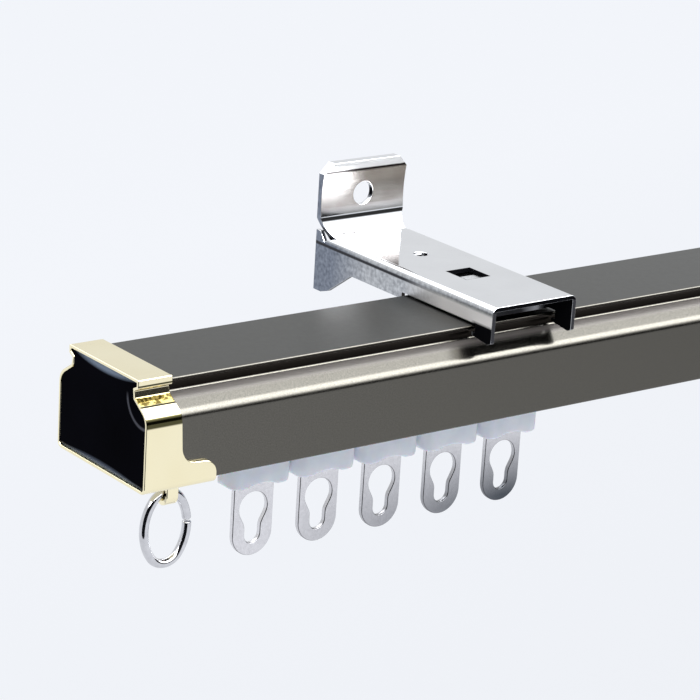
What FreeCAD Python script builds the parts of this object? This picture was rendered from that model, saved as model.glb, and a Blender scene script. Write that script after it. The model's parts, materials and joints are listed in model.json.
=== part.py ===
import FreeCAD, Part
import math
import os

V = FreeCAD.Vector

# Curtain track: an aluminium rail held to the wall by two stamped brackets, with a cap and
# an end ring at each end, and five runners that roll inside it.
#
# All sizes are in millimetres. Pieces are drawn in the rail's frame: X runs along the rail
# from its left end, Y runs from the middle plane towards the wall, and Z goes up from the
# rail's underside. They are then moved to the hanging frame, whose origin lies on the wall,
# midway between the two screw holes.

# Rail
rail_length = 400.0
rail_width = 28.4
rail_height = 19.4
rail_wall = 1.2
foot_round = 0.5
head_width = 22.0
head_edge = 0.7
head_slant = 0.6
neck_width = 19.6
neck_lean = 0.3
shoulder_below = 3.05
shoulder_drop = 2.85
shoulder_round = 2.4
slot_width = 7.2
lip_height = 0.8
lip_width = 0.8

# Gaps between pieces
fit = 0.05
seat = 0.3
run_fit = 0.06
roll_gap = 0.1

# End cap with its inset panel
cap_wall = 0.75
cap_lip = 0.4
cap_face = 1.4
skirt_length = 5.9
skirt_slant = 0.9
skirt_curve = 3.2
tongue_length = 14.3
tongue_height = 4.1
tongue_round = 2.8
tongue_fall = 0.3
pad_length = 2.3
pad_width = 9.0
plug_length = 8.0
plug_thickness = 1.6
plug_gap = 0.67
plug_taper = 3.0
rim_width = 0.6
pocket_depth = 0.9
panel_thickness = 0.7
panel_bevel = 0.35
panel_bevel_height = 0.8

# End ring and the lug it hangs in
wire_radius = 0.9
ring_half_width = 4.8
ring_half_height = 7.2
ring_end_radius = 3.7
ring_gap = 0.9
ring_gap_height = 0.8
ring_drop = 7.6
ring_inset = 13.6
lug_length = 2.6
lug_width = 4.2
lug_under = 1.5
lug_flare = 0.8
lug_flare_height = 2.4

# Bracket
bracket_inset = 87.0
sheet = 0.9
arm_width = 21.3
arm_rise = 4.85
arm_reach = 5.3
bend_round = 1.4
wall_gap = 27.4
claw_gap = 0.5
claw_depth = 2.4
claw_tip = 1.0
step_gap = 1.0
web_depth = 5.9
foot_depth = 11.9
foot_width = 5.0
foot_corner = 0.8
slant_width = 7.5
web_round = 1.5
plate_width = 21.5
plate_height = 15.2
plate_thickness = 1.4
plate_dish = 0.8
plate_edge = 0.6
plate_chamfer = 2.3
base_radius = 4.2
waist = 3.4
web_rise = 1.0
hole_radius = 2.5
hole_rise = 7.9
window_length = 6.4
window_width = 5.8
window_front = 1.4
eye_radius = 1.5
eye_place = 20.0
ear_width = 2.6
ear_depth = 3.2
ledge_width = 2.0
ledge_reach = 1.1
ledge_spread = 6.7

# Lock slide and its spring
slide_play = 0.4
slide_bend = 0.6
lock_travel = 2.4
grip_height = 2.6
grip_setback = 5.0
grip_round = 2.5
hook_width = 12.0
hook_clear = 1.4
stop_width = 4.6
stop_sink = 0.6
coil_radius = 1.25
coil_wire = 0.5
coil_turns = 4
coil_sides = 6

# Runner
runner_count = 5
runner_pitch = 15.5
first_runner = 33.4
wheel_radius = 5.2
wheel_width = 3.4
hub_radius = 2.1
hub_gap = 0.1
axle_radius = 1.0
snap_gap = 1.6
crown_wall = 1.4
neck_thickness = 6.0
neck_length = 11.0
neck_rise = 3.6
saddle_length = 15.2
saddle_width = 6.4
saddle_gap = 0.4
saddle_depth = 8.7
saddle_round = 1.8
arch_rise = 0.7
arch_half = 3.6
tab_thickness = 1.1
tab_width = 9.2
tab_drop = 24.0
tab_root = 3.0
key_radius = 3.25
key_drop = 14.2
key_lean = 28
key_blend = 3.0
slot_radius = 1.8
slot_drop = 19.7

# Places that follow from the sizes
side_y = rail_width / 2
neck_y = neck_width / 2
shoulder_height = rail_height - shoulder_below
head_y = head_width / 2
claw_bite = head_y - neck_y - claw_gap
shoulder_slope = 2 * shoulder_drop / (rail_width - neck_width)
underside_slope = 2 * head_slant / (head_width - neck_width)
arm_top = rail_height + arm_rise
arm_front = -head_y - arm_reach
wall_y = side_y + wall_gap
hole_z = arm_top + hole_rise
wheel_z = rail_wall + roll_gap + wheel_radius
ORIGIN = V(-rail_length / 2, -wall_y, -hole_z)


def rounded_wire(corners, place):
    """Closed wire through corners (u, v, radius); place turns u and v into a point."""
    count = len(corners)
    cuts = []
    for i, (u, v, radius) in enumerate(corners):
        here = V(u, v, 0)
        before = V(corners[i - 1][0], corners[i - 1][1], 0)
        after = V(corners[(i + 1) % count][0], corners[(i + 1) % count][1], 0)
        back = (before - here).normalize()
        ahead = (after - here).normalize()
        half = back.getAngle(ahead) / 2
        if radius <= 0 or abs(half - math.pi / 2) < 1e-6:
            cuts.append((here, None, here))
            continue
        reach = radius / math.tan(half)
        middle = (back + ahead).normalize() * (radius / math.sin(half) - radius)
        cuts.append((here + back * reach, here + middle, here + ahead * reach))
    edges = []
    for i, (enter, middle, leave) in enumerate(cuts):
        points = [place(p.x, p.y) for p in (enter, middle, leave) if p is not None]
        if middle is not None:
            edges.append(Part.Arc(*points).toShape())
        start = place(leave.x, leave.y)
        end = place(cuts[(i + 1) % count][0].x, cuts[(i + 1) % count][0].y)
        if start.distanceToPoint(end) > 1e-6:
            edges.append(Part.LineSegment(start, end).toShape())
    return Part.Wire(edges)


def prism_x(corners, x0, x1):
    """Solid with the Y-Z outline corners, from x0 to x1."""
    wire = rounded_wire(corners, lambda u, v: V(x0, u, v))
    return Part.Face(wire).extrude(V(x1 - x0, 0, 0))


def prism_y(corners, y0, y1):
    """Solid with the X-Z outline corners, from y0 to y1."""
    wire = rounded_wire(corners, lambda u, v: V(u, y0, v))
    return Part.Face(wire).extrude(V(0, y1 - y0, 0))


def prism_z(corners, z0, z1):
    """Solid with the X-Y outline corners, from z0 to z1."""
    wire = rounded_wire(corners, lambda u, v: V(u, v, z0))
    return Part.Face(wire).extrude(V(0, 0, z1 - z0))


def box(x0, x1, y0, y1, z0, z1):
    """Box between two values on each axis."""
    return Part.makeBox(x1 - x0, y1 - y0, z1 - z0, V(x0, y0, z0))


def both_sides(half):
    """Full outline from its right half, which starts at the bottom."""
    return half + [(-y, z, radius) for y, z, radius in reversed(half)]


def shoulder_at(y, skin):
    """Height of the sloping shoulder, moved outwards by skin, at a distance from the middle."""
    lift = skin * math.hypot(1, shoulder_slope)
    return shoulder_height + lift - shoulder_slope * (y - neck_y)


def underside_at(y, skin):
    """Height of the head's slanting underside, moved outwards by skin."""
    lift = skin * math.hypot(1, underside_slope)
    return rail_height - head_edge - underside_slope * (head_y - y) - lift


def outline(skin, under):
    """Rail outline grown by skin, and by under below the head."""
    side = side_y + skin
    neck = neck_y + skin
    root = neck + neck_lean
    head = head_y + skin
    return both_sides([
        (side, -skin, foot_round + max(skin, 0)),
        (side, shoulder_at(side, skin), shoulder_round + skin),
        (root, shoulder_at(root, skin), 0),
        (neck, underside_at(neck, under), 0),
        (head, underside_at(head, under), 0),
        (head, rail_height + skin, 0),
    ])


def rail():
    """Extrusion: flat head, undercut grooves, sloping shoulders and a slotted floor."""
    body = prism_x(outline(0, 0), 0, rail_length)
    side = side_y - rail_wall
    neck = neck_y - rail_wall
    hollow = both_sides([
        (side, rail_wall, 0),
        (side, shoulder_at(side, -rail_wall), shoulder_round - rail_wall),
        (neck, shoulder_at(neck, -rail_wall), 0),
        (neck, rail_height - rail_wall, 0),
    ])
    body = body.cut(prism_x(hollow, 0, rail_length))
    edge = slot_width / 2
    for hand in (1, -1):
        inner = hand * edge
        outer = hand * (edge + lip_width)
        low, high = sorted((inner, outer))
        body = body.fuse(box(0, rail_length, low, high, 0, rail_wall + lip_height))
    body = body.cut(box(0, rail_length, -edge, edge, -1, rail_wall + lip_height))
    return body.removeSplitter()


def cap_side_view(skin):
    """Side view of the cap: a short skirt that curves down into a long tongue."""
    top = rail_height + skin
    foot = skirt_length + skirt_slant
    return [
        (-cap_face, -skin, 0),
        (tongue_length, -skin, 0),
        (tongue_length, tongue_height - tongue_fall, tongue_round),
        (foot, tongue_height, skirt_curve),
        (skirt_length, top, 0),
        (-cap_face, top, 0),
    ]


def lug():
    """Post under the cap with a hole along X, wide enough for the curved wire to swing."""
    half = lug_width / 2
    bottom = -ring_drop - wire_radius - lug_under
    start = -fit - cap_wall / 2
    flare = start - lug_flare_height
    shape = both_sides([
        (half, bottom, half - 0.05),
        (half, flare, 0),
        (half + lug_flare, start, 0),
    ])
    x0 = ring_inset - lug_length / 2
    post = prism_x(shape, x0, x0 + lug_length)
    inner = ring_end_radius - wire_corner()
    sag = inner - math.sqrt(inner ** 2 - (lug_length / 2) ** 2)
    hole = Part.makeCylinder(wire_corner() + sag + fit, lug_length, V(x0, 0, -ring_drop), V(1, 0, 0))
    return post.cut(hole)


def end_cap():
    """Left end cap: shell over the rail's end, plug inside it, pad and lug below."""
    skin = fit + cap_wall
    shell = prism_x(outline(skin, fit + cap_lip), -cap_face, tongue_length)
    shell = shell.common(prism_y(cap_side_view(skin), -side_y - skin, side_y + skin))
    shell = shell.cut(prism_x(outline(fit, fit), 0, tongue_length + 1))
    pad_end = tongue_length + pad_length
    pad = prism_z([
        (tongue_length - pad_length, -pad_width, 0),
        (tongue_length, -pad_width, 0),
        (pad_end, -lug_width, pad_length),
        (pad_end, lug_width, pad_length),
        (tongue_length, pad_width, 0),
        (tongue_length - pad_length, pad_width, 0),
    ], -skin, -fit)
    shell = shell.fuse([pad, lug()])
    for hand in (1, -1):
        wall = hand * (side_y - rail_wall - fit)
        low, high = sorted((wall, wall - hand * plug_thickness))
        bottom = rail_wall + seat
        top = shoulder_at(side_y, -rail_wall) - plug_gap
        root = (pocket_depth - cap_face) / 2
        ear = prism_y([
            (root, bottom, 0),
            (plug_length, bottom, 0),
            (plug_length, top - plug_taper, 0),
            (plug_length - plug_taper, top, 0),
            (root, top, 0),
        ], low, high)
        shell = shell.fuse(ear)
    pocket = prism_x(panel_outline(0), -cap_face, -cap_face + pocket_depth)
    return shell.cut(pocket).removeSplitter()


def panel_outline(gap):
    """Outline of the inset panel, gap inside its pocket."""
    skin = fit + cap_wall - rim_width - gap
    return outline(skin, fit + cap_lip - rim_width - gap)


def cap_panel():
    """Glossy panel set into the cap's face, with its long edges bevelled."""
    back = -cap_face + pocket_depth
    front = back - panel_thickness
    skin = fit + cap_wall - rim_width - fit
    panel = prism_x(panel_outline(fit), front, back)
    low = -skin
    high = rail_height + skin
    bevel = prism_y([
        (front, low + panel_bevel_height, 0),
        (front + panel_bevel, low, 0),
        (back, low, 0),
        (back, high, 0),
        (front + panel_bevel, high, 0),
        (front, high - panel_bevel_height, 0),
    ], -side_y - 1, side_y + 1)
    return panel.common(bevel)


def wire_corner():
    """Distance from the ring wire's middle to the corners of its six-sided section."""
    return wire_radius / math.cos(math.radians(30))


def ring_bend(x, z, radius, start, turn):
    """Stretch of the ring about a point beside its centre, from angle start through turn."""
    centre = V(ring_inset + x, 0, -ring_drop - ring_half_height + z)
    out = V(math.cos(math.radians(start)), 0, math.sin(math.radians(start)))
    corners = []
    for i in range(7):
        angle = math.radians(60 * i)
        away = out * (radius + wire_corner() * math.cos(angle))
        corners.append(centre + away + V(0, wire_corner() * math.sin(angle), 0))
    return Part.Face(Part.makePolygon(corners)).revolve(centre, V(0, -1, 0), turn)


def end_ring():
    """Oval ring of six-sided wire in four tangent bends, open on one side, hanging in the lug."""
    drop = ring_half_height - ring_end_radius
    reach = ring_half_width ** 2 + drop ** 2 - ring_end_radius ** 2
    side_radius = reach / (2 * (ring_half_width - ring_end_radius))
    offset = side_radius - ring_half_width
    slope = math.degrees(math.atan2(drop, offset))
    ring = ring_bend(-offset, 0, side_radius, -slope, 2 * slope).fuse([
        ring_bend(0, drop, ring_end_radius, slope, 180 - 2 * slope),
        ring_bend(offset, 0, side_radius, 180 - slope, 2 * slope),
        ring_bend(0, -drop, ring_end_radius, 180 + slope, 180 - 2 * slope),
    ])
    z = -ring_drop - ring_half_height + ring_gap_height
    half = ring_gap / 2
    end = ring_inset + ring_half_width + 2 * wire_radius
    gap = box(ring_inset, end, -2 * wire_radius, 2 * wire_radius, z - half, z + half)
    return ring.cut(gap).removeSplitter()


def flange():
    """Side view of one bracket flange: claw, seat over the rail, web and wall foot."""
    front_notch = -head_y - seat
    hook_end = -head_y + claw_bite
    hook_top = underside_at(head_y - claw_bite, seat)
    seat_z = rail_height + seat
    step_y = head_y + step_gap
    web_z = arm_top - web_depth
    foot_z = arm_top - foot_depth
    return [
        (arm_front, arm_top, 0),
        (arm_front, hook_top - claw_depth * 0.4, 0),
        (arm_front + claw_tip, hook_top - claw_depth * 0.6, 0),
        (hook_end, hook_top - claw_depth * 0.3, 0),
        (hook_end, hook_top, 0),
        (front_notch, hook_top, 0),
        (front_notch, seat_z, 0),
        (step_y, seat_z, 0),
        (step_y, web_z, 0),
        (wall_y - foot_width - slant_width, web_z, web_round),
        (wall_y - foot_width, foot_z + foot_corner, foot_corner),
        (wall_y - foot_width / 2, foot_z, 0),
        (wall_y, foot_z, 0),
        (wall_y, arm_top - 2 * sheet, 0),
        (wall_y - base_radius - plate_thickness, arm_top, 0),
    ]


def wall_plate():
    """Upright plate with a dished front, clipped corners and a large bend into the arm."""
    front = wall_y - plate_thickness
    top = arm_top + plate_height
    bend = V(0, front - base_radius, arm_top + base_radius)
    low = V(0, bend.y, arm_top)
    side = V(0, front, bend.z)
    turn = base_radius * math.sqrt(0.5)
    crest = V(0, front - plate_dish, top - plate_edge)
    middle = V(0, front + plate_dish * 0.15, (bend.z + crest.z) / 2 - 1)
    outer = base_radius + plate_thickness
    edges = [
        Part.Arc(low, bend + V(0, turn, -turn), side).toShape(),
        Part.Arc(side, middle, crest).toShape(),
        Part.LineSegment(crest, V(0, crest.y, top)).toShape(),
        Part.LineSegment(V(0, crest.y, top), V(0, wall_y, top)).toShape(),
        Part.LineSegment(V(0, wall_y, top), V(0, wall_y, bend.z)).toShape(),
        Part.Arc(
            V(0, wall_y, bend.z),
            bend + V(0, outer * math.sqrt(0.5), -outer * math.sqrt(0.5)),
            V(0, bend.y, arm_top - plate_thickness),
        ).toShape(),
        Part.LineSegment(V(0, bend.y, arm_top - plate_thickness), low).toShape(),
    ]
    half = plate_width / 2
    plate = Part.Face(Part.Wire(edges)).extrude(V(plate_width, 0, 0))
    plate.translate(V(-half, 0, 0))
    root = arm_width / 2 - bend_round
    view = [
        (-root, arm_top - plate_thickness, 0),
        (root, arm_top - plate_thickness, 0),
        (root, arm_top, 0),
        (half, arm_top + waist, 0),
        (half, top - plate_chamfer, 0),
        (half - plate_chamfer, top, 0),
        (-half + plate_chamfer, top, 0),
        (-half, top - plate_chamfer, 0),
        (-half, arm_top + waist, 0),
        (-root, arm_top, 0),
    ]
    return plate.common(prism_y(view, 0, wall_y))


def rear_webs():
    """Upper rear corners of the flanges, beside the bend that turns up into the plate."""
    side = [
        (wall_y - plate_thickness - base_radius / 2, arm_top - 2 * sheet, 0),
        (wall_y, arm_top - 2 * sheet, 0),
        (wall_y, arm_top + web_rise, 0),
        (wall_y - plate_thickness, arm_top + web_rise, 0),
    ]
    arm = arm_width / 2
    return [prism_x(side, low, low + sheet) for low in (-arm, arm - sheet)]


def bracket():
    """Stamped bracket about X = 0: wall plate, channel arm, claws and wall feet."""
    arm = arm_width / 2
    whole = prism_x(flange(), -arm, arm)
    edges = [
        edge for edge in whole.Edges
        if abs(edge.BoundBox.ZMin - arm_top) < 0.01 and edge.BoundBox.YLength > arm_reach
    ]
    whole = whole.makeFillet(bend_round, edges)
    inner = arm - sheet
    low = arm_top - foot_depth - 1
    hollow = prism_y([
        (-inner, low, 0),
        (inner, low, 0),
        (inner, arm_top - sheet, 0),
        (-inner, arm_top - sheet, 0),
    ], arm_front - 1, wall_y + 1)
    body = whole.cut(hollow).fuse([wall_plate()] + rear_webs())
    bore = Part.makeCylinder(hole_radius, plate_thickness + base_radius, V(0, wall_y, hole_z), V(0, -1, 0))
    window = box(
        -window_width / 2, window_width / 2, window_front, window_front + window_length,
        arm_top - 2 * sheet, arm_top + 1,
    )
    eye = Part.makeCylinder(eye_radius, 2 * sheet, V(0, eye_place, arm_top - 1.5 * sheet))
    body = body.cut([bore, window, eye])
    ear_y = eye_place + eye_radius - sheet / 2
    ear = box(
        -ear_width / 2, ear_width / 2, ear_y, ear_y + sheet,
        arm_top - sheet - ear_depth, arm_top - sheet / 2,
    )
    tabs = []
    for hand in (1, -1):
        low, high = sorted((hand * (inner + sheet / 2), hand * (inner - ledge_reach)))
        for along in (1, -1):
            y = along * ledge_spread
            top = slide_low() - fit
            tabs.append(box(low, high, y - ledge_width / 2, y + ledge_width / 2, top - sheet, top))
    return body.fuse([ear] + tabs).removeSplitter()


def slide_low():
    """Height of the lock slide's underside."""
    return arm_top - 2 * sheet - seat


def lock_slide():
    """Sprung lock plate under the arm's roof: finger grip, embossed stop and rear hook."""
    half = arm_width / 2 - sheet - slide_play
    top = slide_low() + sheet
    front = arm_front + grip_setback
    back = head_y + hook_clear + sheet
    hook_top = underside_at(head_y - claw_bite, seat)
    side = [
        (front, slide_low() + sheet - grip_height, 0),
        (front + sheet, slide_low() + sheet - grip_height, 0),
        (front + sheet, slide_low(), 0),
        (back - sheet, slide_low(), 0),
        (back - sheet, hook_top, 0),
        (head_y - claw_bite, hook_top, 0),
        (head_y - claw_bite, hook_top - sheet, 0),
        (back, hook_top - sheet, slide_bend),
        (back, top, slide_bend),
        (front, top, slide_bend),
    ]
    plate = prism_x(side, -half, half)
    rear = head_y - claw_bite - 1
    plan = [
        (-half, front, grip_round),
        (half, front, grip_round),
        (half, rear - 1, 0),
        (hook_width / 2, rear, 0),
        (hook_width / 2, back, 0),
        (-hook_width / 2, back, 0),
        (-hook_width / 2, rear, 0),
        (-half, rear - 1, 0),
    ]
    plate = plate.common(prism_z(plan, hook_top - 2 * sheet, arm_top))
    stop_front = window_front + seat
    stop_back = window_front + window_length - lock_travel - seat
    reach = stop_width / 2
    stop = box(-reach, reach, stop_front, stop_back, slide_low(), arm_top - stop_sink)
    wall = sheet / 2
    pocket = box(
        wall - reach, reach - wall, stop_front + wall, stop_back - wall,
        slide_low(), arm_top - stop_sink - sheet,
    )
    return plate.fuse(stop).cut(pocket).removeSplitter()


def lock_spring():
    """Square-wire coil between the slide's hook and the bracket's ear, in short straight runs."""
    start = head_y + hook_clear + sheet + coil_wire / 2 + fit
    end = eye_place + eye_radius - sheet / 2 - coil_wire / 2 - fit
    middle = arm_top - sheet - ear_depth / 2
    count = coil_turns * coil_sides
    points = []
    for i in range(count + 1):
        angle = 2 * math.pi * i / coil_sides
        along = start + (end - start) * i / count
        points.append(V(coil_radius * math.cos(angle), along, middle + coil_radius * math.sin(angle)))
    path = Part.makePolygon(points)
    ahead = points[1] - points[0]
    out = V(1, 0, 0)
    up = ahead.cross(out).normalize()
    out = up.cross(ahead).normalize()
    half = coil_wire / 2
    signs = ((1, 1), (-1, 1), (-1, -1), (1, -1))
    corners = [points[0] + out * (a * half) + up * (b * half) for a, b in signs]
    section = Part.makePolygon(corners + [corners[0]])
    return path.makePipeShell([section], True, False, 1)


def runner_tab():
    """Steel tab at X = 0 with a keyhole for the curtain hook and its root in the saddle."""
    half = tab_width / 2
    blade = prism_y([
        (-half, -tab_drop, half - 0.05),
        (half, -tab_drop, half - 0.05),
        (half, -tab_root, 0),
        (-half, -tab_root, 0),
    ], -tab_thickness / 2, tab_thickness / 2)
    deep = tab_thickness + 2
    across = V(0, 1, 0)
    key = Part.makeCylinder(key_radius, deep, V(0, -deep / 2, -key_drop), across)
    slot = Part.makeCylinder(slot_radius, deep, V(0, -deep / 2, -slot_drop), across)
    lean = math.radians(key_lean)
    edge = key_radius * math.cos(lean)
    start = -key_drop - key_radius * math.sin(lean)
    turn = start - (edge - slot_radius) / math.tan(lean)
    throat = prism_y([
        (-edge, start, 0),
        (-slot_radius, turn, key_blend),
        (-slot_radius, -slot_drop, 0),
        (slot_radius, -slot_drop, 0),
        (slot_radius, turn, key_blend),
        (edge, start, 0),
    ], -deep / 2, deep / 2)
    return blade.cut(key.fuse([slot, throat]).removeSplitter())


def saddle():
    """Round-ended block under the rail, with a shallow arch between its two feet."""
    half = saddle_length / 2
    wide = saddle_width / 2
    low = -saddle_gap - saddle_depth
    block = prism_z([
        (-half, -wide, wide - fit),
        (half, -wide, wide - fit),
        (half, wide, wide - fit),
        (-half, wide, wide - fit),
    ], low, -saddle_gap)
    radius = (arch_half ** 2 + arch_rise ** 2) / (2 * arch_rise)
    centre = V(0, -saddle_width, low + arch_rise - radius)
    arch = Part.makeCylinder(radius, 2 * saddle_width, centre, V(0, 1, 0))
    view = prism_y([
        (-half, low, saddle_round),
        (half, low, saddle_round),
        (half, -saddle_gap, 0),
        (-half, -saddle_gap, 0),
    ], -wide, wide)
    return block.common(view).cut(arch)


def runner_body():
    """Nylon runner at X = 0: saddle, neck through the slot and clip for the axle."""
    half = neck_length / 2
    crown = wheel_z + hub_radius + crown_wall
    reach = wheel_inner() - hub_gap
    floor = rail_wall + lip_height + seat
    neck = box(-half, half, -neck_thickness / 2, neck_thickness / 2, -saddle_gap - 1, floor)
    carrier = prism_y([
        (-half, floor, 0),
        (half, floor, 0),
        (half, neck_rise, 0),
        (hub_radius, crown, 0),
        (-hub_radius, crown, 0),
        (-half, neck_rise, 0),
    ], -reach, reach)
    bore = Part.makeCylinder(axle_radius + run_fit, 2 * reach, V(0, -reach, wheel_z), V(0, 1, 0))
    mouth = snap_gap / 2
    snap = box(0, half, -reach, reach, wheel_z - mouth, wheel_z + mouth)
    return saddle().fuse([neck, carrier]).cut([bore, snap, runner_tab()]).removeSplitter()


def wheel_inner():
    """Distance from the middle plane to a wheel's inner face."""
    return slot_width / 2 + lip_width + seat


def wheel_pair():
    """Two wheels in one with the axle, which snaps sideways into the runner's clip."""
    inner = wheel_inner()
    outer = inner + wheel_width
    half = [
        (0, outer, 0),
        (wheel_radius, outer, 0),
        (wheel_radius, inner, 0),
        (axle_radius, inner, 0),
    ]
    section = half + [(u, -v, radius) for u, v, radius in reversed(half)]
    wire = rounded_wire(section, lambda u, v: V(0, v, wheel_z + u))
    return Part.Face(wire).revolve(V(0, 0, wheel_z), V(0, 1, 0), 360)


def write(name, shape):
    """Move a finished piece to the hanging frame and write it."""
    shape = shape.copy()
    shape.translate(ORIGIN)
    shape.exportStep(f"parts/{name}.step")


def mirrored(shape):
    """The same piece at the rail's other end."""
    return shape.mirror(V(rail_length / 2, 0, 0), V(1, 0, 0))


def moved(shape, x):
    """Copy of a piece moved along the rail."""
    shape = shape.copy()
    shape.translate(V(x, 0, 0))
    return shape


def main():
    os.makedirs("parts", exist_ok=True)
    write("rail", rail())
    ends = {
        "end_cap": end_cap(),
        "cap_panel": cap_panel(),
        "end_ring": end_ring(),
        "bracket": moved(bracket(), bracket_inset),
        "lock_slide": moved(lock_slide(), bracket_inset),
        "lock_spring": moved(lock_spring(), bracket_inset),
    }
    for name, shape in ends.items():
        write(f"{name}_left", shape)
        write(f"{name}_right", mirrored(shape))
    pieces = {
        "runner_body": runner_body(),
        "runner_tab": runner_tab(),
        "runner_wheels": wheel_pair(),
    }
    for number in range(runner_count):
        x = first_runner + number * runner_pitch
        for name, shape in pieces.items():
            write(f"{name}_{number + 1}", moved(shape, x))


main()
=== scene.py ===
import json
import math

import bmesh
import bpy
from mathutils import Matrix, Vector

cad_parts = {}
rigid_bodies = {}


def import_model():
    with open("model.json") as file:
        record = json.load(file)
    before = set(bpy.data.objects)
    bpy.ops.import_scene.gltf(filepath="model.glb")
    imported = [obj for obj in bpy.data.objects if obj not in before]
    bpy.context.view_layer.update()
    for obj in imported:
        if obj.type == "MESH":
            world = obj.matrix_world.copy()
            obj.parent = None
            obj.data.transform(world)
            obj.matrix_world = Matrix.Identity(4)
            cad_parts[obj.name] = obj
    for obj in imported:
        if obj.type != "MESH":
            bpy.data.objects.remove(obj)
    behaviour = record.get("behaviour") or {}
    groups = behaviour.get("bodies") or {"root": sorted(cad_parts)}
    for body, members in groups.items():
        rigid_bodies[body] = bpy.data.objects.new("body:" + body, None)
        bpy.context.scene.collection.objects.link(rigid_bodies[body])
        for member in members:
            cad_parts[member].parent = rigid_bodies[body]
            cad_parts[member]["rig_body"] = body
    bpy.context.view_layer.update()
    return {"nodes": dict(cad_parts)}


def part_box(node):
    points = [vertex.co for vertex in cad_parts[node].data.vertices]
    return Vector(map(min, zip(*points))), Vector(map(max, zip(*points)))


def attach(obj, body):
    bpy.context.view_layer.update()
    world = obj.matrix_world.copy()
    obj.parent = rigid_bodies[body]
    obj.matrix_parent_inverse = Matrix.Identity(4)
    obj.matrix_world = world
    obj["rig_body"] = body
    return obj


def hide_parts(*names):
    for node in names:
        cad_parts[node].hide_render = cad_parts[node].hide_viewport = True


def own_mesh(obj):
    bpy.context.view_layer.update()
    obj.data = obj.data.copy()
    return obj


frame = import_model()

# Sizes are in metres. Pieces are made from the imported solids, with rounded edges, or along formulas.
MM = 0.001
ENDS = ("left", "right")
RUNNERS = range(1, 6)

# Width of the rounding on each kind of piece
RAIL_EDGE = 0.28 * MM
CAP_EDGE = 0.20 * MM
PANEL_EDGE = 0.07 * MM
BRACKET_EDGE = 0.09 * MM
TAB_EDGE = 0.20 * MM
WHEEL_EDGE = 0.30 * MM
SLIDE_EDGE = 0.10 * MM

# Gap below which points are joined, and angles in degrees: what still counts as flat, from where an edge is
# rounded, and from where the shading breaks on rounded pieces, on wire and on runner bodies
WELD_GAP = 0.002 * MM
FLAT_ANGLE = 0.6
SHARP_ANGLE = 32
ROUNDED_BREAK = 38
WIRE_BREAK = 50
RUNNER_BREAK = 60

# How much a large face counts against a small one in the shading of rounded pieces
NORMAL_WEIGHT = 80

# The rail's middle plane and the foot of its neck, and how far the drawn neck is moved in
RAIL_MIDDLE = -41.6 * MM
NECK_ROOT = -15.994 * MM
NECK_NEAR = 9.6 * MM
NECK_FAR = 10.3 * MM
NECK_SLACK = 0.1 * MM
NECK_SHIFT = 0.45 * MM
SHOULDER_SLOPE = 0.648

# Distance of each bracket's middle from the frame's origin along the rail
BRACKET_MIDDLE = 113.0 * MM

# Grain of the remeshed runner bodies, how much and how often they are smoothed, and the share of faces kept
RUNNER_VOXEL = 0.22 * MM
RUNNER_SOFTENING = 0.5
RUNNER_SMOOTHING = 8
RUNNER_FACES = 0.35

# Wire: the dome on its ends has its rings at these angles, and this height as a share of the radius
DOME_ANGLES = (25, 50, 75)
DOME_HEIGHT = 0.35

# End ring
WIRE_RADIUS = 0.9 * MM
WIRE_SIDES = 20
RING_END_RADIUS = 3.7 * MM
RING_GAP = 0.9 * MM
RING_GAP_HEIGHT = 0.8 * MM
RING_STEPS = 22

# Lock spring
COIL_WIRE = 0.5 * MM
COIL_TURNS = 4
COIL_STEPS = 24
COIL_SIDES = 12

# Painted sheens on the panel, in millimetres: crescents along two edges, and a thin arc by the front
# corner. They are full within these shares of a crescent's height and of the arc's half width
UPPER_SHEEN = {"edge": -12.6, "height": 1.4, "half": 11.5, "sense": 1}
LOWER_SHEEN = {"edge": -32.3, "height": 1.4, "half": 16.5, "sense": -1}
CORNER_SHEEN = {"y": -13.4, "z": -15.3, "radius": 5.3, "half": 0.42}
CRESCENT_CORE = 0.45
ARC_CORE = 0.3

# Camera, with its lens and sensor in millimetres
AZIMUTH = math.radians(-37.797)
ELEVATION = math.radians(17.946)
ROLL = math.radians(3.540)
CAMERA_PLACE = Vector((-465.304, -454.365, 151.291)) * MM
LENS = 146.21
SENSOR = 36.0
CLIP_START = 0.01

# Floor and backdrop. The floor's own glow is dimmed, as painted shade, to a share of itself under the
# object, and is full again at two places along its depth, behind and before it
FLOOR_HEIGHT = -0.34
FLOOR_SIZE = 9.0
PALE = (0.885, 0.905, 0.947)
FLOOR_SHADED = 0.12
FLOOR_GLOW = 0.92
FLOOR_DIMMED = 0.92
FLOOR_DEPTH = (-0.3, 1.0, 0.0)
GLOW_BEHIND = 0.8
GLOW_BEFORE = -0.6
BACKDROP_GLOW = 1.0

# Corners of a flat sheet in order round it, as shares of its half sizes
SHEET_CORNERS = ((-1, -1), (1, -1), (1, 1), (-1, 1))

# Dark card that only mirrors see
CARD_PLACE = Vector((-0.48, -0.34, -0.06))
CARD_FACING = Vector((0.7, 0.7, 0))
CARD_WIDTH = 0.64
CARD_HEIGHT = 0.44

# Lamps, each with its place, its size, its brightness and the point it looks at
TOP_LIGHT = {
    "place": (0.60, -0.45, 0.62), "size": (1.8, 0.45), "strength": 2.2, "aim": (0.60, -0.04, -0.02),
}
LEFT_LIGHT = {
    "place": (-1.1, -0.9, 0.8), "size": (0.7, 0.7), "strength": 0.8, "aim": (-0.12, -0.03, -0.02),
}

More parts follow.
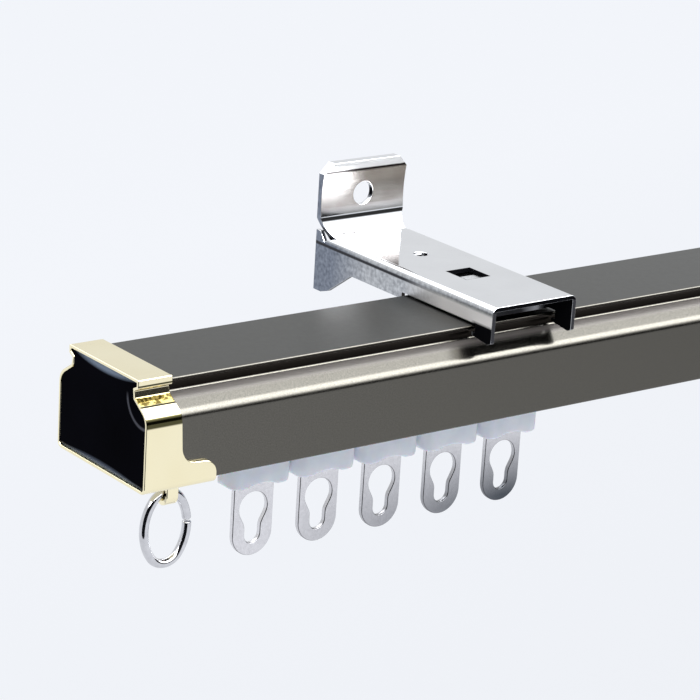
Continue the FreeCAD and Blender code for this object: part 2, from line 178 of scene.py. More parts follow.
# Room light, and what mirrors see of the room: grey levels by height, from straight down at 0 to straight
# up at 1, in front of the object and behind it, and where along Y the front turns into the back
ROOM_TONE = (0.93, 0.955, 1.0)
ROOM_GLOW = 0.72
MIRROR_TINT = (0.965, 0.98, 1)
MIRROR_GLOW = 7.0
FRONT_LEVELS = (
    (0.0, 0.12), (0.44, 0.12), (0.46, 0.005), (0.60, 0.005), (0.64, 0.17), (0.68, 0.26), (0.72, 1.0),
)
BACK_LEVELS = ((0.0, 0.12), (0.74, 0.12), (0.84, 0.53))
FRONT_TO_BACK = (-0.22, -0.02)


def put(value, target):
    """Link a socket to an input, or set the input to a plain number or colour."""
    if isinstance(value, bpy.types.NodeSocket):
        target.id_data.links.new(value, target)
    elif isinstance(value, tuple):
        target.default_value = (*value, 1)
    else:
        target.default_value = value


def node_maker(tree):
    """Maker of a tree's nodes, which sets the options and inputs that it is given by name."""
    def add(kind, **values):
        node = tree.nodes.new(kind)
        for key, value in values.items():
            if hasattr(node, key):
                setattr(node, key, value)
            else:
                put(value, node.inputs[key.replace("_", " ")])
        return node

    return add


def node_material(name):
    """New material with its shader, and a maker of further nodes."""
    material = bpy.data.materials.new(name)
    material.use_nodes = True
    tree = material.node_tree
    return material, tree.nodes["Principled BSDF"], node_maker(tree)


def maths(add, operation, *values):
    """One step of arithmetic on sockets and plain numbers."""
    node = add("ShaderNodeMath", operation=operation)
    for value, target in zip(values, node.inputs):
        put(value, target)
    return node.outputs["Value"]


def times(add, first, second):
    """The product of two factors."""
    return maths(add, "MULTIPLY", first, second)


def most(add, first, second):
    """The larger of two factors."""
    return maths(add, "MAXIMUM", first, second)


def fade(add, value, start, stop):
    """Factor that goes from 0 to 1 as a value goes from start to stop."""
    node = add("ShaderNodeMapRange", Value=value, From_Min=start, From_Max=stop)
    return node.outputs["Result"]


def spread(add, factor, low, high):
    """Factor from 0 to 1 spread from low to high."""
    node = add("ShaderNodeMapRange", Value=factor, To_Min=low, To_Max=high)
    return node.outputs["Result"]


def grain(add, scale, detail=2):
    """Noise over the piece's own coordinates, finer with a larger scale."""
    coords = add("ShaderNodeTexCoord")
    noise = add("ShaderNodeTexNoise", Vector=coords.outputs["Object"], Scale=scale, Detail=detail)
    return noise.outputs["Fac"]


def ramp(add, factor, stops):
    """Colour ramp through stops of (place, colour)."""
    node = add("ShaderNodeValToRGB", Fac=factor)
    elements = node.color_ramp.elements
    while len(elements) < len(stops):
        elements.new(0.5)
    for element, (place, colour) in zip(elements, stops):
        element.position = place
        element.color = (*colour, 1)
    return node.outputs["Color"]


def two_tones(add, factor, dark, light, low=0.3, high=0.7):
    """Colour that wanders between two tones with a grain."""
    return ramp(add, factor, [(low, dark), (high, light)])


def own_place(add, axis):
    """Place on one of the piece's own axes, in metres."""
    coords = add("ShaderNodeTexCoord")
    parts = add("ShaderNodeSeparateXYZ", Vector=coords.outputs["Object"])
    return parts.outputs[axis]


def along(add, axis, start, stop):
    """Factor that goes from 0 to 1 between two places on one of the piece's own axes, in millimetres."""
    return fade(add, own_place(add, axis), start * MM, stop * MM)


def band(add, axis, fade_in, fade_out):
    """Factor of 1 on a stretch of an axis, fading in and out between two places each, in millimetres."""
    return times(add, along(add, axis, *fade_in), along(add, axis, *fade_out))


def facing(add, axis, low, high, sense=0):
    """Factor that goes from 0 to 1 as the surface turns to look along an axis, either way or one way."""
    geometry = add("ShaderNodeNewGeometry")
    parts = add("ShaderNodeSeparateXYZ", Vector=geometry.outputs["Normal"])
    if sense:
        lean = times(add, parts.outputs[axis], sense)
    else:
        lean = maths(add, "ABSOLUTE", parts.outputs[axis])
    return fade(add, lean, low, high)


def beside(add, start, stop):
    """Factor that goes from 0 to 1 with the distance along X from a bracket's middle, in millimetres."""
    mirrored = maths(add, "ABSOLUTE", own_place(add, "X"))
    shifted = maths(add, "SUBTRACT", mirrored, BRACKET_MIDDLE)
    return fade(add, maths(add, "ABSOLUTE", shifted), start * MM, stop * MM)


def blend(add, factor, first, second):
    """Colour that goes from the first to the second, each a socket or a plain colour."""
    node = add("ShaderNodeMix", data_type="RGBA")
    put(factor, node.inputs["Factor"])
    put(first, node.inputs["A"])
    put(second, node.inputs["B"])
    return node.outputs["Result"]


def mixed(add, factor, first, second):
    """Shader that goes from the first to the second."""
    node = add("ShaderNodeMixShader", Fac=factor)
    put(first, node.inputs[1])
    put(second, node.inputs[2])
    return node.outputs["Shader"]


def roughen(add, shader, scale, low, high):
    """Roughness that wanders from low to high with a grain."""
    put(spread(add, grain(add, scale), low, high), shader.inputs["Roughness"])


def bump(add, shader, height, strength, distance):
    """Fine relief by a height."""
    node = add("ShaderNodeBump", Strength=strength, Distance=distance, Height=height)
    put(node.outputs["Normal"], shader.inputs["Normal"])


def rail_metal():
    """Taupe anodised aluminium with a fine metallic grain, with painted shade on its top, towards its right
    end and black in its grooves, and painted light on the slope by its neck.
    """
    material, shader, add = node_material("rail_metal")
    taupe_dark = (0.102, 0.097, 0.085)
    taupe_light = (0.149, 0.142, 0.124)
    top_shade_taupe = (0.042, 0.0425, 0.038)
    far_shade_taupe = (0.086, 0.081, 0.070)
    groove_shade_black = (0.030, 0.025, 0.021)
    shoulder_painted_light = (0.24, 0.22, 0.205)
    fleck = grain(add, 3800, 3)
    top = facing(add, "Z", 0.93, 0.99)
    far = times(add, along(add, "X", -190.0, 60.0), facing(add, "Y", 0.9, 0.99))
    groove = band(add, "Z", (-15.62, -15.5), (-13.0, -13.1))
    shoulder = band(add, "Z", (-17.1, -16.3), (-15.75, -15.9))
    colour = two_tones(add, fleck, taupe_dark, taupe_light, 0.25, 0.75)
    # Painted shade: the top face gets a much darker taupe than the sides, though it is the same metal
    colour = blend(add, top, colour, top_shade_taupe)
    # Painted shade: the upright faces darken towards the right end of the rail
    colour = blend(add, far, colour, far_shade_taupe)
    # Painted shade: the grooves are painted near black for the shade inside them
    colour = blend(add, groove, colour, groove_shade_black)
    # Painted light: the slope by the neck gets a lighter grey and less metal, so that it looks lit though
    # the head hides the light above from it
    colour = blend(add, shoulder, colour, shoulder_painted_light)
    put(colour, shader.inputs["Base Color"])
    put(spread(add, shoulder, 1.0, 0.2), shader.inputs["Metallic"])
    sides = spread(add, grain(add, 900), 0.20, 0.27)
    put(maths(add, "MULTIPLY_ADD", top, 0.10, sides), shader.inputs["Roughness"])
    bump(add, shader, fleck, 0.14, 0.02 * MM)
    return material


def gold_plate():
    """Polished pale gold plate, a little uneven, with painted olive reflection bands, a flecked slope at
    its sides and a painted line of shade in its crease.
    """
    material, shader, add = node_material("gold_plate")
    gold_dark = (0.96, 0.87, 0.59)
    gold_light = (0.99, 0.91, 0.64)
    reflection_olive = (0.085, 0.078, 0.035)
    fleck_dark = (0.10, 0.075, 0.02)
    fleck_light = (0.55, 0.44, 0.16)
    crease_shade_black = (0.02, 0.018, 0.01)
    side = facing(add, "Y", 0.70, 0.90)
    turned = facing(add, "Y", 0.62, 0.74)
    slope = facing(add, "Y", 0.35, 0.45)
    wide_reflection_band = band(add, "Z", (-20.4, -20.1), (-18.2, -18.5))
    thin_reflection_line = band(add, "Z", (-13.40, -13.30), (-12.95, -13.05))
    rough_part = band(add, "Z", (-16.75, -16.6), (-15.4, -15.55))
    crease = band(add, "Z", (-16.95, -16.85), (-16.6, -16.7))
    flecked = two_tones(add, grain(add, 1300, 3), fleck_dark, fleck_light, 0.40, 0.55)
    colour = two_tones(add, grain(add, 90), gold_dark, gold_light)
    # Painted reflections: dark olive bands on the turned and upright sides
    colour = blend(add, times(add, turned, wide_reflection_band), colour, reflection_olive)
    colour = blend(add, times(add, side, thin_reflection_line), colour, reflection_olive)
    colour = blend(add, times(add, slope, rough_part), colour, flecked)
    # Painted shade: a black line in the crease of the slope
    colour = blend(add, times(add, slope, crease), colour, crease_shade_black)
    put(colour, shader.inputs["Base Color"])
    put(1.0, shader.inputs["Metallic"])
    roughen(add, shader, 1500, 0.05, 0.11)
    bump(add, shader, grain(add, 260, 1), 0.12, 0.05 * MM)
    return material


def crescent(add, edge, height, half, sense):
    """Factor of 1 in a crescent along the panel's upper or lower edge, thickest at its middle."""
    away = maths(add, "SUBTRACT", own_place(add, "Y"), RAIL_MIDDLE)
    square = maths(add, "POWER", away, 2)
    curve = -sense * height * MM / (half * MM) ** 2
    bow = maths(add, "MULTIPLY_ADD", square, curve, own_place(add, "Z"))
    return fade(add, bow, (edge - sense * height) * MM, (edge - sense * height * CRESCENT_CORE) * MM)


def arc_line(add, y, z, radius, half):
    """Factor of 1 on a thin arc about a point of the Y-Z plane, fading out over its width."""
    coords = add("ShaderNodeTexCoord")
    flat = add("ShaderNodeVectorMath", operation="MULTIPLY")
    flat.inputs[1].default_value = (0, 1, 1)
    away = add("ShaderNodeVectorMath", operation="DISTANCE")
    away.inputs[1].default_value = (0, RAIL_MIDDLE + y * MM, z * MM)
    put(coords.outputs["Object"], flat.inputs[0])
    put(flat.outputs["Vector"], away.inputs[0])
    off = maths(add, "SUBTRACT", away.outputs["Value"], radius * MM)
    return fade(add, maths(add, "ABSOLUTE", off), half * MM, half * ARC_CORE * MM)


def black_gloss():
    """Glossy black inset with a painted bluish sheen along its upper and lower edges and its front corner.
    """
    material, shader, add = node_material("black_gloss")
    black_dark = (0.001, 0.001, 0.002)
    black_light = (0.002, 0.002, 0.004)
    painted_upper_sheen = (0.22, 0.27, 0.35)
    painted_lower_sheen = (0.11, 0.13, 0.17)
    painted_corner_sheen = (0.085, 0.085, 0.10)
    corner = times(add, arc_line(add, **CORNER_SHEEN), along(add, "Z", -15.0, -16.4))
    colour = two_tones(add, grain(add, 60), black_dark, black_light)
    # Painted sheen: bluish crescents along the upper and lower edges, and a grey arc by the front corner
    colour = blend(add, crescent(add, **UPPER_SHEEN), colour, painted_upper_sheen)
    colour = blend(add, crescent(add, **LOWER_SHEEN), colour, painted_lower_sheen)
    colour = blend(add, corner, colour, painted_corner_sheen)
    put(colour, shader.inputs["Base Color"])
    roughen(add, shader, 700, 0.04, 0.08)
    put(1.03, shader.inputs["IOR"])
    return material


def flank_colour(add, lit):
    """Mottled grey of the bracket's flanks, with painted bluish shade by the wall, a painted pale patch of
    light in front and a painted dark line of shade along the fold.
    """
    grey_dark = (0.31, 0.32, 0.34)
    grey_light = (0.62, 0.64, 0.66)
    wall_shade_dark = (0.13, 0.15, 0.19)
    wall_shade_light = (0.28, 0.31, 0.37)
    pale = (1.0, 0.96, 0.92)
    fold_shade_black = (0.035, 0.035, 0.04)
    mottle = grain(add, 1100, 4)
    fold = band(add, "Z", (-10.0, -9.8), (-9.1, -9.4))
    fold = times(add, fold, along(add, "Y", -43.0, -30.0))
    colour = two_tones(add, mottle, grey_dark, grey_light)
    wall_shade = two_tones(add, mottle, wall_shade_dark, wall_shade_light)
    # Painted shade: the flanks turn a darker bluish grey by the wall
    colour = blend(add, along(add, "Y", -18.0, -6.0), colour, wall_shade)
    # Painted light: a pale cream patch on the flanks in front, over the rail
    colour = blend(add, lit, colour, pale)
    # Painted shade: a near-black line along the fold
    return blend(add, fold, colour, fold_shade_black)


def unlit_parts(add, flank, upright):
    """Factor of 1 where shade is painted: the bracket's inside, underside, sheared edges, claws and window
    rim.
    """
    inner = times(add, flank, beside(add, 10.1, 9.95))
    under = facing(add, "Z", 0.55, 0.9, -1)
    sheared = band(add, "Z", (-9.0, -8.75), (-7.85, -7.95))
    claw = times(add, along(add, "Z", -11.7, -12.3), along(add, "Y", -51.5, -52.6))
    window = band(add, "Y", (-40.4, -40.3), (-33.6, -33.7))
    window = times(add, window, beside(add, 3.15, 3.05))
    window = times(add, window, along(add, "Z", -9.0, -8.8))
    unlit = most(add, inner, under)
    unlit = most(add, unlit, times(add, upright, sheared))
    unlit = most(add, unlit, times(add, claw, flank))
    return most(add, unlit, window)


def chrome_plate():
    """Bright plating on stamped steel with duller flanks, painted light on the crown and a patch of the
    flanks, and painted shade on its front, cut edges, claws and inside and in a line under the crown.
    """
    material, shader, add = node_material("bracket_chrome")
    bright_dark = (0.78, 0.79, 0.81)
    bright_light = (0.82, 0.83, 0.85)
    brown_dark = (0.72, 0.65, 0.62)
    brown_light = (0.95, 0.91, 0.88)
    crown_shadow_black = (0.06, 0.055, 0.055)
    crown_highlight_grey = (0.76, 0.76, 0.76)
    front_shade_black = (0.05, 0.05, 0.055)
    unlit_black = (0.004, 0.004, 0.005)
    flank = facing(add, "X", 0.80, 0.97)
    upright = facing(add, "Y", 0.80, 0.97)
    # Painted light: where the pale patch is painted on the flanks in front
    lit = times(add, along(add, "Y", -30.0, -43.0), along(add, "Z", -9.2, -10.0))
    lit = times(add, lit, along(add, "Z", -12.4, -12.2))
    plate = times(add, upright, along(add, "Z", -4.0, -2.0))
    crown = times(add, upright, along(add, "Z", 5.5, 5.7))
    crown_shadow_line = times(add, upright, band(add, "Z", (4.8, 5.2), (5.7, 5.5)))
    front = times(add, upright, along(add, "Y", -57.5, -57.7))
    unlit = unlit_parts(add, flank, upright)
    bright = two_tones(add, grain(add, 120), bright_dark, bright_light)
    brown = two_tones(add, grain(add, 160, 3), brown_dark, brown_light)
    colour = blend(add, plate, bright, brown)
    # Painted shadow: a dark line just under the crown
    colour = blend(add, crown_shadow_line, colour, crown_shadow_black)
    # Painted highlight: the plate's crown is painted a light, less metallic grey
    colour = blend(add, crown, colour, crown_highlight_grey)
    colour = blend(add, flank, colour, flank_colour(add, lit))
    # Painted shade: the bracket's front faces are painted near black
    colour = blend(add, front, colour, front_shade_black)
    # Painted shade: black and not metallic on the inside, underside, cut edges, claws and window rim
    colour = blend(add, unlit, colour, unlit_black)
    put(colour, shader.inputs["Base Color"])
    # The painted light on the flank patch and on the crown also takes away most of the metal there
    metal_under_painted_light = spread(add, most(add, times(add, lit, flank), crown), 1.0, 0.3)
    put(times(add, metal_under_painted_light, spread(add, unlit, 1.0, 0.0)), shader.inputs["Metallic"])
    put(1.03, shader.inputs["IOR"])
    rough = most(add, spread(add, flank, 0.05, 0.34), spread(add, plate, 0.05, 0.20))
    put(rough, shader.inputs["Roughness"])
    bump(add, shader, grain(add, 170), 0.22, 0.06 * MM)
    return material


def slide_chrome():
    """Plating on the lock slide, painted dark as shade on all but its upward faces, with a painted
    highlight on the front of its lip.
    """
    material, shader, add = node_material("lock_chrome")
    bright = two_tones(add, grain(add, 400), (0.70, 0.71, 0.73), (0.80, 0.81, 0.83))
    shade = two_tones(add, grain(add, 900, 3), (0.010, 0.010, 0.011), (0.020, 0.020, 0.022))
    lip_highlight_grey = (0.42, 0.42, 0.44)
    lip_highlight = times(add, along(add, "X", -112.0, -105.0), facing(add, "Y", 0.6, 0.9, -1))
    # Painted shade: all but the upward faces are painted near black
    colour = blend(add, facing(add, "Z", 0.92, 0.99, 1), shade, bright)
    # Painted highlight: a lighter grey on the front of the lip towards the right
    colour = blend(add, lip_highlight, colour, lip_highlight_grey)
    put(colour, shader.inputs["Base Color"])
    put(1.0, shader.inputs["Metallic"])
    roughen(add, shader, 700, 0.12, 0.26)
    return material


def ring_chrome():
    """Bright plated wire with a fine grain."""
    material, shader, add = node_material("ring_chrome")
    colour = two_tones(add, grain(add, 900, 3), (0.60, 0.60, 0.62), (0.70, 0.70, 0.72))
    put(colour, shader.inputs["Base Color"])
    put(1.0, shader.inputs["Metallic"])
    roughen(add, shader, 1800, 0.04, 0.10)
    return material


def nickel():
    """Satin nickel on the tabs, with fine tumbling marks and painted shade on their rounded edges, and
    darker low down, less so towards the left end.
    """
    material, shader, add = node_material("nickel")
    marks = grain(add, 1600, 4)
    low_grey = (0.08, 0.09, 0.105)
    edge_shade_black = (0.05, 0.05, 0.055)
    low = times(add, along(add, "Z", -40.0, -55.0), along(add, "X", -165.0, -104.0))
    rim = times(add, facing(add, "Y", 0.90, 0.70), facing(add, "Y", 0.20, 0.40))
    colour = two_tones(add, marks, (0.69, 0.68, 0.70), (0.78, 0.77, 0.79))
    colour = blend(add, low, colour, low_grey)
    # Painted shade: the sloping faces at the edges are painted near black
    colour = blend(add, rim, colour, edge_shade_black)
    put(colour, shader.inputs["Base Color"])
    put(0.95, shader.inputs["Metallic"])
    roughen(add, shader, 700, 0.16, 0.28)
    bump(add, shader, marks, 0.12, 0.02 * MM)
    return material


def nylon():
    """Milky translucent nylon."""
    material, shader, add = node_material("nylon")
    colour = two_tones(add, grain(add, 220, 3), (0.76, 0.80, 0.87), (0.86, 0.90, 0.95))
    put(colour, shader.inputs["Base Color"])
    roughen(add, shader, 900, 0.34, 0.46)
    put(0.35, shader.inputs["Subsurface Weight"])
    put(1.5 * MM, shader.inputs["Subsurface Scale"])
    bump(add, shader, grain(add, 500), 0.15, 0.04 * MM)
    return material


def acetal():
    """White wheel plastic."""
    material, shader, add = node_material("acetal")
    colour = two_tones(add, grain(add, 500), (0.70, 0.70, 0.68), (0.78, 0.78, 0.76))
    put(colour, shader.inputs["Base Color"])
    roughen(add, shader, 1200, 0.30, 0.42)
    return material


def spring_steel():
    """Drawn steel wire."""
    material, shader, add = node_material("spring_steel")
    colour = two_tones(add, grain(add, 1500, 3), (0.36, 0.36, 0.37), (0.52, 0.52, 0.53))
    put(colour, shader.inputs["Base Color"])
    put(1.0, shader.inputs["Metallic"])
    roughen(add, shader, 900, 0.22, 0.36)
    return material


def finish_piece(piece, material, slot, body, *nodes):
    """Give a piece its material and body, and let it stand for its CAD nodes; its slot is not used."""
    piece.data.materials.clear()
    piece.data.materials.append(material)
    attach(piece, body)
    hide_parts(*nodes)
    return piece


def piece_of(name, data):
    """New piece, lamp or camera in the scene."""
    piece = bpy.data.objects.new(name, data)
    bpy.context.scene.collection.objects.link(piece)
    return piece


def smooth_shading(mesh, angle):
    """Smooth shading that breaks at edges sharper than an angle."""
    mesh.polygons.foreach_set("use_smooth", [True] * len(mesh.polygons))
    mesh.set_sharp_from_angle(angle=math.radians(angle))


def slimmer_neck(solid):
    """Move the rail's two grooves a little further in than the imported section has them."""
    for vert in solid.verts:
        away = vert.co.y - RAIL_MIDDLE
        if vert.co.z > NECK_ROOT - NECK_SLACK and NECK_NEAR < abs(away) < NECK_FAR:
            root = vert.co.z < NECK_ROOT + NECK_SLACK
            vert.co.y -= math.copysign(NECK_SHIFT, away)
            vert.co.z += NECK_SHIFT * SHOULDER_SLOPE if root else 0


def rounded_copy(node, width, segments, reshape):
    """Mesh of a CAD node with its sharp edges rounded."""
    mesh = frame["nodes"][node].data.copy()
    mesh.name = f"{node}_look"
    solid = bmesh.new()
    solid.from_mesh(mesh)
    bmesh.ops.remove_doubles(solid, verts=solid.verts, dist=WELD_GAP)
    bmesh.ops.dissolve_limit(
        solid, angle_limit=math.radians(FLAT_ANGLE), verts=solid.verts, edges=solid.edges,
    )
    if reshape:
        reshape(solid)
    sharp = [
        edge for edge in solid.edges
        if len(edge.link_faces) == 2 and edge.calc_face_angle(0) > math.radians(SHARP_ANGLE)
    ]
    bmesh.ops.bevel(
        solid, geom=sharp, offset=width, offset_type="OFFSET", segments=segments,
        profile=0.5, affect="EDGES", clamp_overlap=False,
    )
    solid.to_mesh(mesh)
    solid.free()
    smooth_shading(mesh, ROUNDED_BREAK)
    return mesh


def dressed(node, width, material, slot, segments=2, reshape=None):
    """A CAD node's own shape with rounded edges."""
    body = frame["nodes"][node]["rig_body"]
    piece = piece_of(f"{node}_look", rounded_copy(node, width, segments, reshape))
    modifier = piece.modifiers.new("even_normals", "WEIGHTED_NORMAL")
    modifier.keep_sharp = True
    modifier.weight = NORMAL_WEIGHT
    return finish_piece(piece, material, slot, body, node)


def dome(centre, outwards, out, across, radius):
    """Rings of a wire's domed end, from the wire to the tip."""
    rings = []
    for angle in DOME_ANGLES:
        turn = math.radians(angle)
        place = centre + outwards * radius * DOME_HEIGHT * math.sin(turn)
        rings.append((place, out, across, radius * math.cos(turn)))
    return rings


def tube(name, points, radius, sides):
    """Round wire along points that nowhere run along Y, as a mesh with domed ends."""
    count = len(points)
    up = Vector((0, 1, 0))
    rings = []
    for i, point in enumerate(points):
        ahead = (points[min(i + 1, count - 1)] - points[max(i - 1, 0)]).normalized()
        out = up.cross(ahead).normalized()
        across = ahead.cross(out)
        rings.append((point, out, across, radius))
    start = (points[0] - points[1]).normalized()
    end = (points[-1] - points[-2]).normalized()
    head = dome(points[0], start, *rings[0][1:])
    tail = dome(points[-1], end, *rings[-1][1:])
    rings = head[::-1] + rings + tail
    verts = []
    for centre, out, across, r in rings:
        for s in range(sides):
            turn = 2 * math.pi * s / sides
            verts.append(centre + out * (r * math.cos(turn)) + across * (r * math.sin(turn)))
    faces = []
    for i in range(len(rings) - 1):
        for s in range(sides):
            t = (s + 1) % sides
            faces.append((i * sides + s, i * sides + t, (i + 1) * sides + t, (i + 1) * sides + s))
    faces.append(tuple(reversed(range(sides))))
    faces.append(tuple(range((len(rings) - 1) * sides, len(rings) * sides)))
    mesh = bpy.data.meshes.new(name)
    mesh.from_pydata([tuple(v) for v in verts], [], faces)
    mesh.update()
    smooth_shading(mesh, WIRE_BREAK)
    return piece_of(name, mesh)


def ring_line(end):
    """Points along the oval ring's wire, from one side of its gap round to the other."""
    low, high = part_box(f"end_ring_{end}")
    middle = (low + high) / 2
    corner = WIRE_RADIUS * 2 / math.sqrt(3)
    half_width = (high.x - low.x) / 2 - corner
    half_height = (high.z - low.z) / 2 - corner
    drop = half_height - RING_END_RADIUS
    reach = half_width ** 2 + drop ** 2 - RING_END_RADIUS ** 2
    side_radius = reach / (2 * (half_width - RING_END_RADIUS))
    offset = side_radius - half_width
    slope = math.atan2(drop, offset)
    start = math.asin((RING_GAP_HEIGHT + RING_GAP / 2) / side_radius)
    stop = math.asin((RING_GAP_HEIGHT - RING_GAP / 2) / side_radius)
    bends = [
        (-offset, 0, side_radius, start, slope),
        (0, drop, RING_END_RADIUS, slope, math.pi - slope),
        (offset, 0, side_radius, math.pi - slope, math.pi + slope),
        (0, -drop, RING_END_RADIUS, math.pi + slope, 2 * math.pi - slope),
        (-offset, 0, side_radius, -slope, stop),
    ]
    hand = 1 if end == "left" else -1

    def on_bend(x, z, radius, turn):
        return middle + Vector((hand * (x + radius * math.cos(turn)), 0, z + radius * math.sin(turn)))

    points = [
        on_bend(x, z, radius, first + (last - first) * i / RING_STEPS)
        for x, z, radius, first, last in bends
        for i in range(RING_STEPS)
    ]
    points.append(on_bend(-offset, 0, side_radius, stop))
    return points


def spring_line(end):
    """Points along the lock spring's coil."""
    low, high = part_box(f"lock_spring_{end}")
    middle = (low + high) / 2
    radius = (high.x - low.x) / 2 - COIL_WIRE / 2
    start = low.y + COIL_WIRE / 2
    stop = high.y - COIL_WIRE / 2
    count = COIL_TURNS * COIL_STEPS
    points = []
    for i in range(count + 1):
        turn = 2 * math.pi * COIL_TURNS * i / count
        points.append(Vector((
            middle.x + radius * math.cos(turn),
            start + (stop - start) * i / count,
            middle.z + radius * math.sin(turn),
        )))
    return points


def runner_look(number, material):
    """Moulded runner body, remeshed and smoothed so that its edges are soft."""
    node = f"runner_body_{number}"
    piece = piece_of(f"{node}_look", frame["nodes"][node].data.copy())
    remesh = piece.modifiers.new("even_grain", "REMESH")
    remesh.mode = "VOXEL"
    remesh.voxel_size = RUNNER_VOXEL
    smooth = piece.modifiers.new("soft_edges", "SMOOTH")
    smooth.factor = RUNNER_SOFTENING
    smooth.iterations = RUNNER_SMOOTHING
    fewer = piece.modifiers.new("fewer_faces", "DECIMATE")
    fewer.ratio = RUNNER_FACES
    depsgraph = bpy.context.evaluated_depsgraph_get()
    mesh = bpy.data.meshes.new_from_object(piece.evaluated_get(depsgraph))
    piece.modifiers.clear()
    piece.data = mesh
    smooth_shading(mesh, RUNNER_BREAK)
    return finish_piece(piece, material, "runner", f"runner_{number}", node)


def track():
    """Every piece of the track."""
    dressed("rail", RAIL_EDGE, rail_metal(), "rail", 3, slimmer_neck)
    gold = gold_plate()
    black = black_gloss()
    bright = chrome_plate()
    slide = slide_chrome()
    wire = ring_chrome()
    coil = spring_steel()
    for end in ENDS:
        dressed(f"end_cap_{end}", CAP_EDGE, gold, "cap", 3)
        dressed(f"cap_panel_{end}", PANEL_EDGE, black, "panel")
        dressed(f"bracket_{end}", BRACKET_EDGE, bright, "bracket")
        dressed(f"lock_slide_{end}", SLIDE_EDGE, slide, "lock")
        ring = tube(f"end_ring_{end}_look", ring_line(end), WIRE_RADIUS, WIRE_SIDES)
        finish_piece(ring, wire, "ring", f"ring_{end}", f"end_ring_{end}")
        spring = tube(f"lock_spring_{end}_look", spring_line(end), COIL_WIRE / 2, COIL_SIDES)
        finish_piece(spring, coil, "spring", "track", f"lock_spring_{end}")
        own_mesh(spring)
    body = nylon()
    tab = nickel()
    wheels = acetal()
    for number in RUNNERS:
        runner_look(number, body)
        dressed(f"runner_tab_{number}", TAB_EDGE, tab, "tab", 3)
        dressed(f"runner_wheels_{number}", WHEEL_EDGE, wheels, "wheels", 3)


def plain_sheet(name, corners):
    """Flat sheet with four corners."""
    mesh = bpy.data.meshes.new(name)
    mesh.from_pydata([tuple(corner) for corner in corners], [], [(0, 1, 2, 3)])
    return piece_of(name, mesh)


def seen_rays(add):
    """1 for rays that the camera, a mirror or glass sees, and 0 for those that only light."""
    path = add("ShaderNodeLightPath")
    first = most(add, path.outputs["Is Camera Ray"], path.outputs["Is Glossy Ray"])
    return most(add, first, path.outputs["Is Transmission Ray"])


def floor():
    """Pale floor, which also fills the background and keeps the object's shadow, with its glow dimmed under
    the object as painted shade.
    """
    half = FLOOR_SIZE / 2
    piece = plain_sheet("floor", [(half * x, half * y, FLOOR_HEIGHT) for x, y in SHEET_CORNERS])
    material, shader, add = node_material("pale_floor")
    put(PALE, shader.inputs["Base Color"])
    put(0.9, shader.inputs["Roughness"])
    put(0.1, shader.inputs["Specular IOR Level"])
    shaded = add("ShaderNodeBsdfDiffuse", Color=tuple(c * FLOOR_SHADED for c in PALE))
    coords = add("ShaderNodeTexCoord")
    depth = add("ShaderNodeVectorMath", operation="DOT_PRODUCT")
    depth.inputs[1].default_value = FLOOR_DEPTH
    put(coords.outputs["Object"], depth.inputs[0])
    behind = fade(add, depth.outputs["Value"], 0, GLOW_BEHIND)
    before = fade(add, depth.outputs["Value"], 0, GLOW_BEFORE)
    level = spread(add, most(add, behind, before), FLOOR_GLOW * FLOOR_DIMMED, FLOOR_GLOW)
    glow = add("ShaderNodeEmission", Color=PALE, Strength=level)
    plain = add("ShaderNodeAddShader")
    put(shaded.outputs["BSDF"], plain.inputs[0])
    put(glow.outputs["Emission"], plain.inputs[1])
    surface = mixed(add, seen_rays(add), shader.outputs["BSDF"], plain.outputs["Shader"])
    put(surface, material.node_tree.nodes["Material Output"].inputs["Surface"])
    piece.data.materials.append(material)


def dark_card():
    """Dark card beside the camera, which only mirrors see, for the dark lines in the chrome."""
    sideways = Vector((CARD_FACING.y, -CARD_FACING.x, 0)).normalized() * (CARD_WIDTH / 2)
    upwards = Vector((0, 0, CARD_HEIGHT / 2))
    piece = plain_sheet("dark_card", [CARD_PLACE + sideways * x + upwards * y for x, y in SHEET_CORNERS])
    material, shader, _ = node_material("dark_card")
    put((0.01, 0.01, 0.012), shader.inputs["Base Color"])
    put(0.9, shader.inputs["Roughness"])
    put(0.0, shader.inputs["Specular IOR Level"])
    piece.data.materials.append(material)
    piece.visible_camera = False
    piece.visible_diffuse = False
    piece.visible_shadow = False


def softbox(name, place, size, strength, aim):
    """Area light of a given size and brightness, aimed at a point."""
    data = bpy.data.lights.new(name, "AREA")
    data.shape = "RECTANGLE"
    data.size, data.size_y = size
    data.energy = strength * size[0] * size[1] * math.pi
    lamp = piece_of(name, data)
    lamp.location = place
    lamp.rotation_euler = (Vector(aim) - Vector(place)).to_track_quat("-Z", "Y").to_euler()


def zones(add, height, levels):
    """Tinted grey by height in the room."""
    return ramp(add, height, [(place, tuple(level * c for c in MIRROR_TINT)) for place, level in levels])


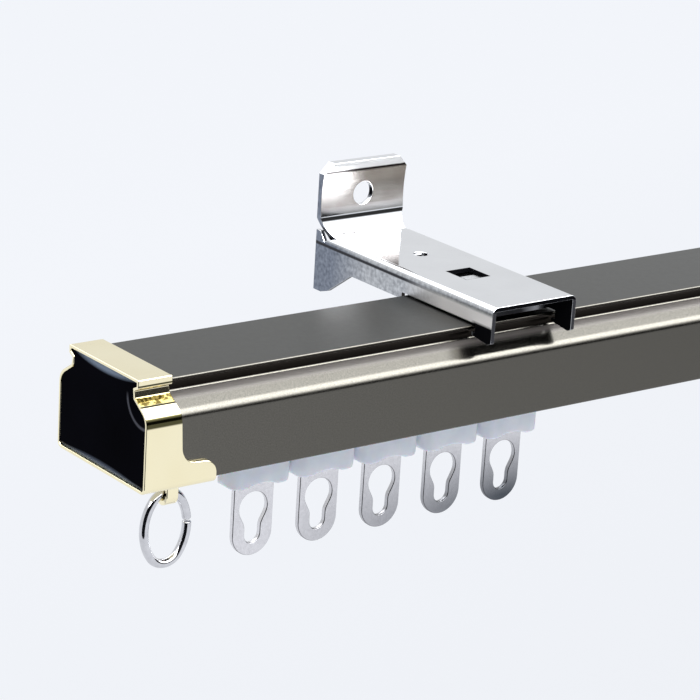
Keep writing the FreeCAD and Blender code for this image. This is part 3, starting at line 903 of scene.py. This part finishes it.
def studio():
    """Soft light from above, and a room that metal mirrors: pale behind, darker in front, bright above."""
    softbox("top_light", **TOP_LIGHT)
    softbox("left_light", **LEFT_LIGHT)
    world = bpy.data.worlds.new("studio")
    bpy.context.scene.world = world
    world.use_nodes = True
    nodes = world.node_tree.nodes
    add = node_maker(world.node_tree)
    plain = nodes["Background"]
    put(ROOM_TONE, plain.inputs["Color"])
    put(ROOM_GLOW, plain.inputs["Strength"])
    coords = add("ShaderNodeTexCoord")
    parts = add("ShaderNodeSeparateXYZ", Vector=coords.outputs["Generated"])
    height = fade(add, parts.outputs["Z"], -1, 1)
    front = zones(add, height, FRONT_LEVELS)
    back = zones(add, height, BACK_LEVELS)
    room = blend(add, fade(add, parts.outputs["Y"], *FRONT_TO_BACK), front, back)
    mirrored = add("ShaderNodeBackground", Color=room, Strength=MIRROR_GLOW)
    backdrop = add("ShaderNodeBackground", Color=PALE, Strength=BACKDROP_GLOW)
    path = add("ShaderNodeLightPath")
    surface = mixed(
        add, path.outputs["Is Glossy Ray"], plain.outputs["Background"], mirrored.outputs["Background"],
    )
    surface = mixed(add, path.outputs["Is Camera Ray"], surface, backdrop.outputs["Background"])
    put(surface, nodes["World Output"].inputs["Surface"])
    bpy.context.scene.view_settings.view_transform = "Standard"


def camera():
    """Camera at the photograph's place, turned about its axis as the photograph is."""
    back = Vector((
        math.sin(AZIMUTH) * math.cos(ELEVATION),
        -math.cos(AZIMUTH) * math.cos(ELEVATION),
        math.sin(ELEVATION),
    ))
    right = (-back).cross(Vector((0, 0, 1))).normalized()
    up = right.cross(-back)
    turned_right = right * math.cos(ROLL) + up * math.sin(ROLL)
    turned_up = up * math.cos(ROLL) - right * math.sin(ROLL)
    data = bpy.data.cameras.new("camera")
    data.lens = LENS
    data.sensor_width = SENSOR
    data.clip_start = CLIP_START
    view = piece_of("camera", data)
    place = Matrix((turned_right, turned_up, back)).transposed().to_4x4()
    place.translation = CAMERA_PLACE
    view.matrix_world = place
    bpy.context.scene.camera = view


track()
floor()
dark_card()
studio()
camera()
